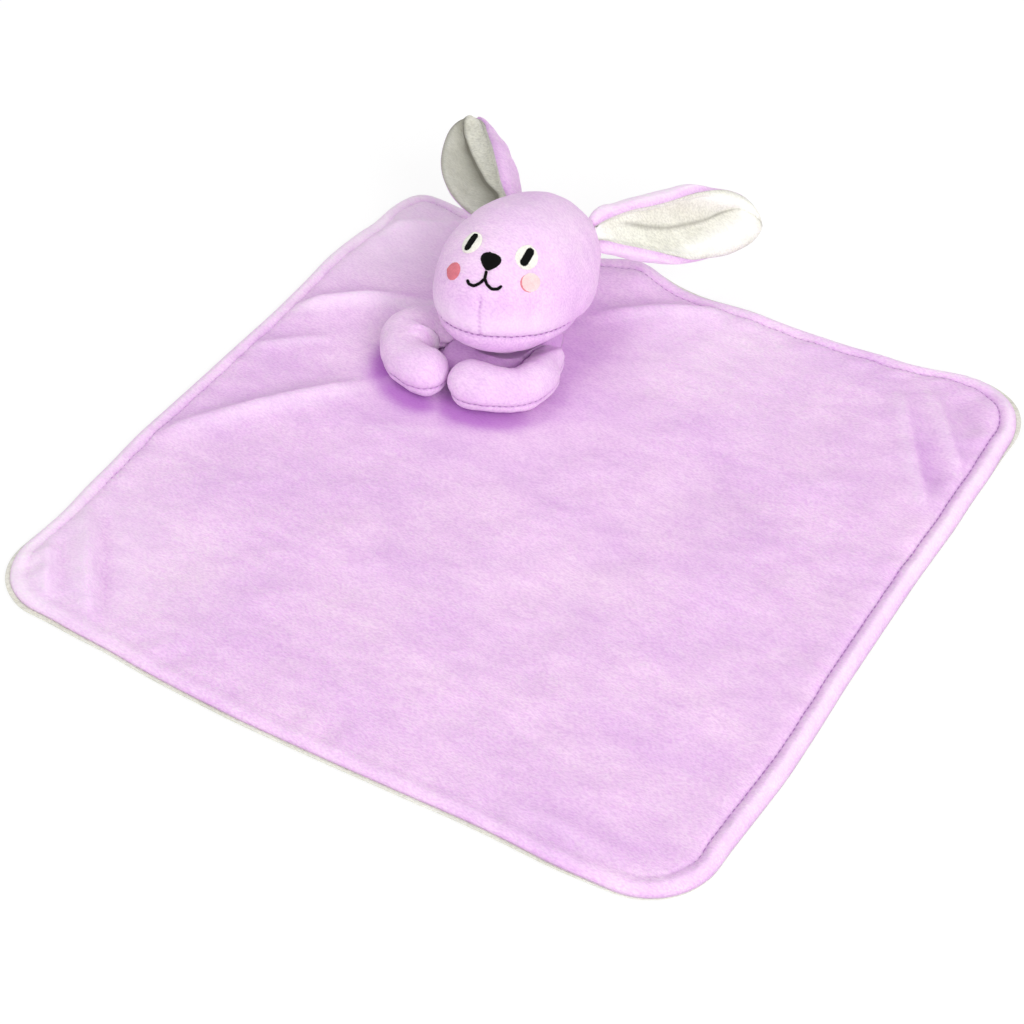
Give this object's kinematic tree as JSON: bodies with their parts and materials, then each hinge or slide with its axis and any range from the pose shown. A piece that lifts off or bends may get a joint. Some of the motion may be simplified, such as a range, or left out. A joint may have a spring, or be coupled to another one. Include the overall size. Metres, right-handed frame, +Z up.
{
  "type": "puppy blanket with plush toy",
  "caption": "Square double-layer plush blanket with a stuffed rabbit's head, ears and arms sewn on near one corner. The head turns and nods, the ears flop and the arms swing open.",
  "frame": {"origin": "middle of the blanket's flat underside, on the surface it lies on", "axes": "+Z up out of the blanket; X and Y along the blanket's sides; the rabbit faces -Y, so its own left is +X"},
  "size_m": [0.35, 0.3668, 0.086],
  "materials": {
    "lilac_plush": "short lilac plush pile",
    "grey_plush": "short pale grey plush pile",
    "fibre_filling": "loose polyester fibre",
    "lilac_thread": "sewing thread",
    "black_thread": "satin embroidery",
    "white_thread": "satin embroidery",
    "rose_thread": "satin embroidery",
    "pale_pink_thread": "satin embroidery"
  },
  "bodies": {
    "blanket": {"blanket_top_panel": "lilac_plush", "blanket_backing_panel": "grey_plush", "hem_topstitch": "lilac_thread", "torso": "lilac_plush"},
    "neck": {"neck_stuffing": "fibre_filling"},
    "head": {"head_face_panel": "lilac_plush", "head_back_panel": "lilac_plush", "head_under_panel": "lilac_plush", "head_stuffing": "fibre_filling", "chin_stitching": "lilac_thread", "left_eye_white": "white_thread", "left_eye_pupil": "black_thread", "left_cheek": "pale_pink_thread", "right_eye_white": "white_thread", "right_eye_pupil": "black_thread", "right_cheek": "rose_thread", "nose_embroidery": "black_thread", "mouth_embroidery": "black_thread"},
    "left_ear": {"left_ear_back": "lilac_plush", "left_ear_lining": "grey_plush"},
    "right_ear": {"right_ear_back": "lilac_plush", "right_ear_lining": "grey_plush"},
    "left_arm": {"left_arm_upper_panel": "lilac_plush", "left_arm_lower_panel": "lilac_plush", "left_arm_stuffing": "fibre_filling"},
    "right_arm": {"right_arm_upper_panel": "lilac_plush", "right_arm_lower_panel": "lilac_plush", "right_arm_stuffing": "fibre_filling"}
  },
  "joints": [
    {"name": "head_turn", "type": "hinge", "parent": "blanket", "child": "neck", "pos_m": [-0.0544, 0.0863, 0.0096], "axis": [0, 0, 1], "range_deg": [-25, 25], "stiffness_Nm_per_rad": 0.05},
    {"name": "head_nod", "type": "hinge", "parent": "neck", "child": "head", "pos_m": [-0.0544, 0.0863, 0.048], "axis": [0.9903, 0.1392, 0], "range_deg": [-8, 5], "stiffness_Nm_per_rad": 0.3},
    {"name": "left_ear_flop", "type": "hinge", "parent": "head", "child": "left_ear", "pos_m": [-0.02937, 0.12879, 0.0557], "axis": [0.7436, -0.6687, 0], "range_deg": [-6, 50], "stiffness_Nm_per_rad": 0.08},
    {"name": "right_ear_flop", "type": "hinge", "parent": "head", "child": "right_ear", "pos_m": [-0.08666, 0.11659, 0.05466], "axis": [0.7832, 0.6217, 0], "range_deg": [-6, 50], "stiffness_Nm_per_rad": 0.08},
    {"name": "left_arm_swing", "type": "hinge", "parent": "blanket", "child": "left_arm", "pos_m": [-0.02785, 0.07245, 0.0121], "axis": [-0.2068, 0.0217, 0.9781], "range_deg": [0, 50], "stiffness_Nm_per_rad": 0.02},
    {"name": "right_arm_swing", "type": "hinge", "parent": "blanket", "child": "right_arm", "pos_m": [-0.08419, 0.06932, 0.0121], "axis": [-0.2068, 0.0217, -0.9781], "range_deg": [0, 50], "stiffness_Nm_per_rad": 0.02}
  ]
}
